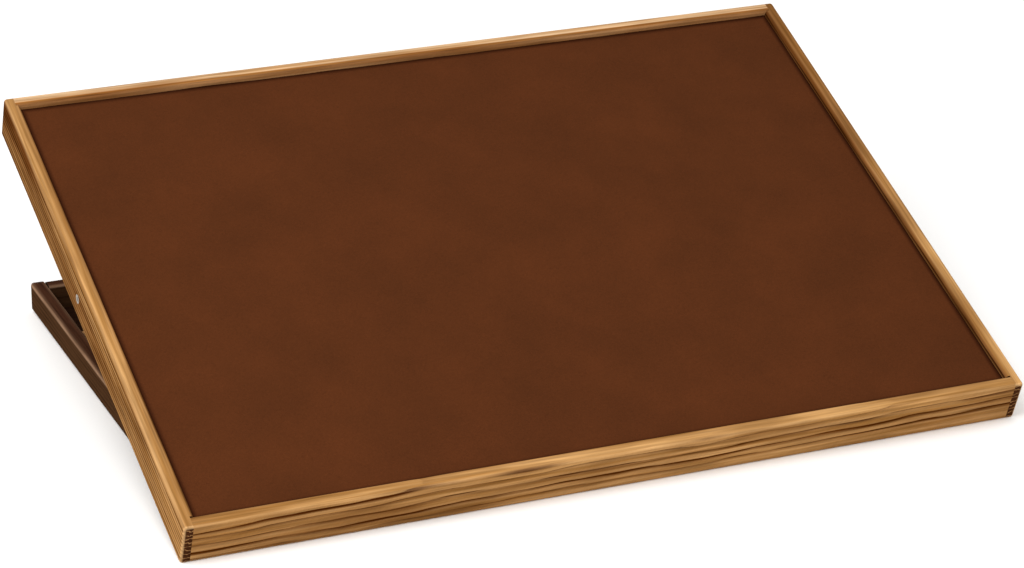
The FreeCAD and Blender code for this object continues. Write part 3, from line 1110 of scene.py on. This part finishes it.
@dataclass
class FeltSurface:
    """The felt glued to the work panel, cut to the tray's inside."""

    tilt_deg: float
    width: float = 0.8324
    length: float = 0.5824
    thickness: float = 0.001
    cell: float = 0.004
    # How much the grid's lines crowd together near the cut edges
    crowding: float = 0.12
    # The glued sheet lies a tenth of a millimetre up and down in long and short ripples
    wave: float = 0.00012
    ripple_length: float = 0.045
    ripple_share: float = 0.7
    fine_length: float = 0.011
    fine_share: float = 0.3
    # The cut edge is rounded over this width, and sinks by a share of it
    edge_round: float = 0.0007
    edge_sink: float = 0.6

    def build(self) -> Piece:
        """Make the sheet as a closed mesh and dress it.

        Returns:
            The felt's object.
        """
        low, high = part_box("felt_cover")
        centre = (Vector(low) + Vector(high)) / 2
        turn = Matrix.Rotation(math.radians(self.tilt_deg), 3, "X")
        columns = round(self.width / self.cell)
        rows = round(self.length / self.cell)
        mesh = bmesh.new()
        grids: list[list[list[bmesh.types.BMVert]]] = []
        for side in (1, -1):
            grid = []
            for j in range(rows + 1):
                v = self.spread(j / rows, self.length)
                line = []
                for i in range(columns + 1):
                    u = self.spread(i / columns, self.width)
                    w = side * self.thickness / 2
                    if side > 0:
                        w -= self.sag(u, v)
                    line.append(mesh.verts.new(centre + turn @ Vector((u, v, w))))
                grid.append(line)
            grids.append(grid)
        top, under = grids
        for j in range(rows):
            for i in range(columns):
                mesh.faces.new((top[j][i], top[j][i + 1], top[j + 1][i + 1], top[j + 1][i]))
                mesh.faces.new((under[j][i], under[j + 1][i], under[j + 1][i + 1], under[j][i + 1]))
        front, back = (top[0], under[0]), (top[rows], under[rows])
        left, right = ([[line[i] for line in grid] for grid in grids] for i in (0, columns))
        for upper, lower in (front, back, left, right):
            for k in range(len(upper) - 1):
                mesh.faces.new((upper[k], lower[k], lower[k + 1], upper[k + 1]))
        felt = finish_mesh("felt_sheet", mesh, FELT_SMOOTH_DEG)
        half_mm = (self.width / 2 / MM, self.length / 2 / MM)
        paint(felt, FeltFinish().build(centre, self.tilt_deg, half_mm))
        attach(felt, Body.BOARD.value)
        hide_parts("felt_cover")
        return felt

    def spread(self, share: float, size: float) -> float:
        """Distance of a grid line from the middle, for its share of the row of lines."""
        return (share - math.sin(2 * math.pi * share) * self.crowding - 0.5) * size

    def sag(self, u: float, v: float) -> float:
        """How far the felt's upper face lies under its full height.

        Args:
            u: Distance from the middle across the board.
            v: Distance from the middle along the board.

        Returns:
            A depth from 0 to less than the thickness.
        """
        ripple, fine = (
            0.5 + 0.5 * noise.noise(Vector((u / length, v / length, layer)))
            for length, layer in ((self.ripple_length, 0.3), (self.fine_length, 4.1))
        )
        rim = min(self.width / 2 - abs(u), self.length / 2 - abs(v))
        shoulder = max(0.0, 1 - rim / (2 * self.edge_round)) ** 2
        waves = self.wave * (self.ripple_share * ripple + self.fine_share * fine)
        return waves + self.edge_round * self.edge_sink * shoulder


@dataclass
class BoardTray:
    """The tilting tray: four torched rails, the panel, its stiffening and the support's pivot."""

    nodes: Nodes
    tilt_deg: float
    front: Stick = Stick(
        "board_front_rail",
        Grain.ALONG_WIDTH,
        Sawing(
            12.0,
            -130.0,
            ring_mm=9.4,
            shift=0.2,
            rise_deg=1.0,
            wander_mm=4.5,
            ripple_mm=2.0,
            pale_under_mm=-11.0,
            seed=2.3,
        ),
        CharAndShade(1.0, char_and_shade_in=0.4, char_and_shade_out=0.35, char_and_shade_top=0.2, char_near=0.25),
    )
    back: Stick = Stick(
        "board_back_rail",
        Grain.ALONG_WIDTH,
        Sawing(-6.0, -150.0, ring_mm=7.0, wander_mm=0.8, ripple_mm=0.3, seed=7.9),
        CharAndShade(-1.0, char_and_shade_in=0.75, char_and_shade_top=0.97, top_from_mm=1.5, top_to_mm=3.0, char_near=0.1),
    )
    left: Stick = Stick(
        "board_left_rail",
        Grain.ALONG_DEPTH,
        Sawing(9.0, -128.0, ring_mm=4.9, wander_mm=0.8, ripple_mm=0.3, seed=4.4),
        CharAndShade(
            -1.0,
            char_and_shade_out=0.95,
            near_share=0.35,
            char_and_shade_top=0.5,
            char_far=0.16,
            fade_from_mm=-150.0,
            fade_to_mm=0.0,
        ),
    )
    right: Stick = Stick(
        "board_right_rail",
        Grain.ALONG_DEPTH,
        Sawing(-14.0, -110.0, ring_mm=4.9, wander_mm=1.2, ripple_mm=0.3, seed=11.2),
        CharAndShade(1.0, char_and_shade_top=0.3, char_far=0.6, fade_from_mm=-110.0, fade_to_mm=90.0),
    )
    stiffening: Sequence[Stick] = (
        Stick("hinge_rail", Grain.ALONG_WIDTH, Sawing(30.0, 12.0, seed=21.0)),
        Stick("panel_batten_left", Grain.ALONG_DEPTH, Sawing(8.0, 46.0, seed=23.0)),
        Stick("panel_batten_middle", Grain.ALONG_DEPTH, Sawing(-22.0, 38.0, seed=26.0)),
        Stick("panel_batten_right", Grain.ALONG_DEPTH, Sawing(3.0, -52.0, seed=29.0)),
    )
    tenons: Stick = Stick("board_corner_tenons", Grain.ALONG_WIDTH, Sawing(5.0, 60.0, seed=31.0))
    pivot_screw: CrossScrew = CrossScrew(
        head_radius=0.0047,
        head_height=0.0022,
        shank_radius=0.0024,
        length=0.0235,
        recess_reach=0.0031,
        recess_width=0.0013,
        recess_depth=0.0017,
    )
    # How far the left and the right screw were driven round
    screw_rolls_deg: tuple[float, float] = (20.0, 65.0)

    def build(self) -> list[Piece]:
        """Dress the rails and panel and make the felt and the pivot screws.

        Returns:
            The tray's pieces.
        """
        steel = ZINC_STEEL.build()
        metal_names = ("pivot_rod", "pivot_spacer_left", "pivot_spacer_right")
        return [
            *dress_sticks(
                self.nodes,
                self.tilt_deg,
                {
                    TORCHED_PINE: (self.front, self.left, self.right),
                    PALE_TORCHED_PINE: (self.back,),
                    PLANED_PINE: self.stiffening,
                    TURNED_BEECH: (self.tenons,),
                },
            ),
            paint(self.nodes["work_panel"], HardboardFinish().build(self.tilt_deg)),
            *(paint(self.nodes[name], steel) for name in metal_names),
            FeltSurface(self.tilt_deg).build(),
            self.pivot_screws(steel),
        ]

    def pivot_screws(self, steel: bpy.types.Material) -> Piece:
        """Make the two screws in the ends of the pivot rod.

        Args:
            steel: Their material.

        Returns:
            One object with both screws.
        """
        low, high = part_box("pivot_screws")
        centre = (Vector(low) + Vector(high)) / 2
        mesh = bmesh.new()
        for side, x, roll_deg in zip((-1, 1), (low[0], high[0]), self.screw_rolls_deg):
            head = Vector((x, centre.y, centre.z))
            turn = Matrix.Rotation(math.radians(-90 * side), 4, "Y")
            roll = Matrix.Rotation(math.radians(roll_deg), 4, "Z")
            self.pivot_screw.add_to(mesh, Matrix.Translation(head) @ turn @ roll)
        screws = paint(finish_mesh("pivot_cross_screws", mesh), steel)
        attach(screws, Body.BOARD.value)
        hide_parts("pivot_screws")
        return screws


@dataclass
class BaseFrame:
    """The low dark frame, its bottom, its stop bar and its rubber pads."""

    nodes: Nodes
    rails: Sequence[Stick] = (
        Stick("base_left_rail", Grain.ALONG_DEPTH, Sawing(14.0, 40.0, seed=41.0)),
        Stick("base_right_rail", Grain.ALONG_DEPTH, Sawing(-20.0, 34.0, seed=43.0)),
        Stick("base_front_rail", Grain.ALONG_WIDTH, Sawing(24.0, -18.0, seed=47.0)),
        Stick("base_back_rail", Grain.ALONG_WIDTH, Sawing(-26.0, -12.0, seed=53.0)),
    )
    bottom: Stick = Stick(
        "base_bottom_panel", Grain.ALONG_WIDTH, Sawing(40.0, -260.0, wander_mm=9.0, seed=67.0)
    )
    turned: Sequence[Stick] = (
        Stick("stop_bar", Grain.ALONG_WIDTH, Sawing(12.0, 20.0, seed=59.0)),
        Stick("base_corner_tenons", Grain.ALONG_WIDTH, Sawing(5.0, 60.0, seed=61.0)),
    )

    def build(self) -> list[Piece]:
        """Dress the rails, the bottom, the bar and the pads.

        Returns:
            The frame's pieces.
        """
        sticks = {
            STAINED_PINE: self.rails,
            PLYWOOD_STAINED_AND_SHADED: (self.bottom,),
            TURNED_BEECH: self.turned,
        }
        rubber = RubberFinish().build()
        pads = [paint(self.nodes[name], rubber) for name in ("base_feet", "closing_bumpers")]
        return dress_sticks(self.nodes, 0.0, sticks) + pads


@dataclass
class SupportFrame:
    """The two notched arms and the tie that joins them."""

    nodes: Nodes
    tilt_deg: float
    arms: Sequence[Stick] = (
        Stick("support_arm_left", Grain.ALONG_DEPTH, Sawing(12.0, 44.0, seed=67.0)),
        Stick("support_arm_right", Grain.ALONG_DEPTH, Sawing(-9.0, 50.0, seed=71.0)),
    )
    tie: Stick = Stick("support_tie", Grain.ALONG_WIDTH, Sawing(-10.0, 22.0, seed=73.0))

    def build(self) -> list[Piece]:
        """Dress the arms and the tie."""
        sticks = {STAINED_PINE: self.arms, TURNED_BEECH: (self.tie,)}
        return dress_sticks(self.nodes, self.tilt_deg, sticks)


@dataclass
class Hinges:
    """Two butt hinges with the screws in their leaves."""

    nodes: Nodes
    pin: Vector
    tilt_deg: float
    leaf_gap: float = 0.0004
    hole_pitch: float = 0.030
    hole_from_back: float = 0.007
    # How far the left and the right screw of a leaf were driven round
    screw_rolls_deg: tuple[float, float] = (12.0, 51.0)
    screw: CrossScrew = CrossScrew(
        head_radius=0.0026,
        head_height=0.001,
        shank_radius=0.0013,
        length=0.011,
        recess_reach=0.0017,
        recess_width=0.0008,
        recess_depth=0.0006,
        spokes=48,
        hoops=16,
    )

    def build(self) -> list[Piece]:
        """Dress the leaves and pins and make the screws.

        Returns:
            The hinges' pieces.
        """
        brass = BRUSHED_BRASS.build()
        pieces = [
            paint(self.nodes[f"hinge_{side}_{part}"], brass)
            for side in ("left", "right")
            for part in ("lower_leaf", "upper_leaf", "pin")
        ]
        pieces.append(self.leaf_screws("lower_leaf_screws", Body.BASE, 1, brass))
        pieces.append(self.leaf_screws("upper_leaf_screws", Body.BOARD, -1, brass))
        return pieces

    def leaf_screws(self, name: str, body: Body, facing: int, brass: bpy.types.Material) -> Piece:
        """Make the screws of both lower or both upper leaves.

        Args:
            name: The object's name.
            body: The body that the leaves belong to.
            facing: 1 where the heads look up on the folded table, -1 where they look down.
            brass: Their material.

        Returns:
            One object with all four screws.
        """
        mesh = bmesh.new()
        swing = Matrix.Identity(4)
        if body is Body.BOARD:
            about = Matrix.Translation(self.pin)
            swing = about @ Matrix.Rotation(math.radians(self.tilt_deg), 4, "X") @ about.inverted()
        flip = Matrix.Rotation(math.pi if facing > 0 else 0.0, 4, "X")
        for side in ("left", "right"):
            low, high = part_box(f"hinge_{side}_lower_leaf")
            for step, roll_deg in zip((-0.5, 0.5), self.screw_rolls_deg):
                x = (low[0] + high[0]) / 2 + step * self.hole_pitch
                head = Vector((x, high[1] - self.hole_from_back, self.pin.z))
                head.z -= facing * self.leaf_gap / 2
                roll = Matrix.Rotation(math.radians(roll_deg), 4, "Z")
                self.screw.add_to(mesh, swing @ Matrix.Translation(head) @ flip @ roll)
        screws = paint(finish_mesh(name, mesh), brass)
        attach(screws, body.value)
        return screws


@dataclass(frozen=True)
class Softbox:
    """A large soft studio light."""

    name: str
    at: tuple[float, float, float]
    size: float
    watts: float


@dataclass
class Studio:
    """Pale floor, soft light from above and a long-lens camera at the front left."""

    camera_at: tuple[float, float, float] = (-1.27947, -3.06179, 1.49104)
    aimed_at: tuple[float, float, float] = (-0.01603, -0.07653, 0.12414)
    roll_deg: float = 0.675
    lens_mm: float = 126.29
    sensor_mm: float = 36.0
    floor_size: float = 24.0
    floor_squares: int = 8
    # The floor lies this far under the feet, so that the two don't flicker
    floor_drop: float = 0.0002
    floor_light: str = "#f7f6f4"
    floor_dark: str = "#f3f2f0"
    mottles_per_metre: float = 3.0
    room_light: float = 0.95
    softboxes: Sequence[Softbox] = (
        Softbox("key_softbox", (-1.5, -1.0, 2.3), 1.8, 62.0),
        Softbox("front_softbox", (0.2, -2.6, 1.0), 1.6, 12.0),
    )
    softboxes_aim: tuple[float, float, float] = (0.0, 0.0, 0.1)

    def build(self) -> list[Piece]:
        """Build the floor, the lights and the camera."""
        return [self.floor(), *self.lights(), self.camera()]

    def floor(self) -> Piece:
        """Lay a pale matt floor with the faint mottle of painted board.

        Returns:
            The floor.
        """
        mesh = bmesh.new()
        squares, half = self.floor_squares, self.floor_size / 2
        bmesh.ops.create_grid(mesh, x_segments=squares, y_segments=squares, size=half)
        surface = Surface("board_painted_matt")
        place = surface.add_node("TexCoord").outputs["Object"]
        mottle = surface.add_node("TexNoise", place, Scale=self.mottles_per_metre, Detail=2.0)
        stops = tuple(zip(NOISE_SPAN, (self.floor_dark, self.floor_light)))
        tone = surface.add_node("ValToRGB", mottle, stops=stops)
        material = surface.shade({"Base Color": tone, "Roughness": 0.9, "Specular IOR Level": 0.1})
        ground = paint(finish_mesh("studio_floor", mesh), material)
        ground.location.z = -self.floor_drop
        return ground

    def lights(self) -> list[Piece]:
        """Hang the softboxes and light the whole room evenly.

        Returns:
            The lamps.
        """
        scene = bpy.context.scene
        scene.view_settings.view_transform = "Standard"
        world = bpy.data.worlds.new("studio_room")
        world.use_nodes = True
        background = world.node_tree.nodes["Background"]
        background.inputs["Color"].default_value = linear("#ffffff")
        background.inputs["Strength"].default_value = self.room_light
        scene.world = world
        lamps = []
        for box in self.softboxes:
            data = bpy.data.lights.new(box.name, "AREA")
            data.shape = "SQUARE"
            data.size = box.size
            data.energy = box.watts
            lamp = bpy.data.objects.new(box.name, data)
            lamp.location = box.at
            aim = Vector(self.softboxes_aim) - Vector(box.at)
            lamp.rotation_euler = aim.to_track_quat("-Z", "Y").to_euler()
            scene.collection.objects.link(lamp)
            lamps.append(lamp)
        return lamps

    def camera(self) -> Piece:
        """Place the camera at the photograph's viewing angle.

        Returns:
            The camera.
        """
        data = bpy.data.cameras.new("camera")
        data.lens = self.lens_mm
        data.sensor_width = self.sensor_mm
        eye = bpy.data.objects.new("camera", data)
        aim = (Vector(self.aimed_at) - Vector(self.camera_at)).to_track_quat("-Z", "Y")
        roll = Matrix.Rotation(math.radians(self.roll_deg), 3, "Z").to_quaternion()
        eye.location = self.camera_at
        eye.rotation_euler = (aim @ roll).to_euler()
        bpy.context.scene.collection.objects.link(eye)
        bpy.context.scene.camera = eye
        return eye


def main() -> None:
    """Build every sub-assembly in order and report each piece."""
    logging.basicConfig(level=logging.INFO, format="%(name)s: %(message)s")
    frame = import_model()
    joints = {joint["name"]: joint for joint in frame["joints"]}
    board_tilt = -joints["board_tilt"]["range_deg"][0]
    arm_tilt = board_tilt - joints["support_swing"]["range_deg"][1]
    pin = Vector(joints["board_tilt"]["pos_m"])
    nodes = frame["nodes"]
    assemblies = (
        BaseFrame(nodes),
        BoardTray(nodes, board_tilt),
        SupportFrame(nodes, arm_tilt),
        Hinges(nodes, pin, board_tilt),
        Studio(),
    )
    for assembly in assemblies:
        for piece in assembly.build():
            LOG.info("%s: %s", type(assembly).__name__, piece.name)


if __name__ == "__main__":
    main()
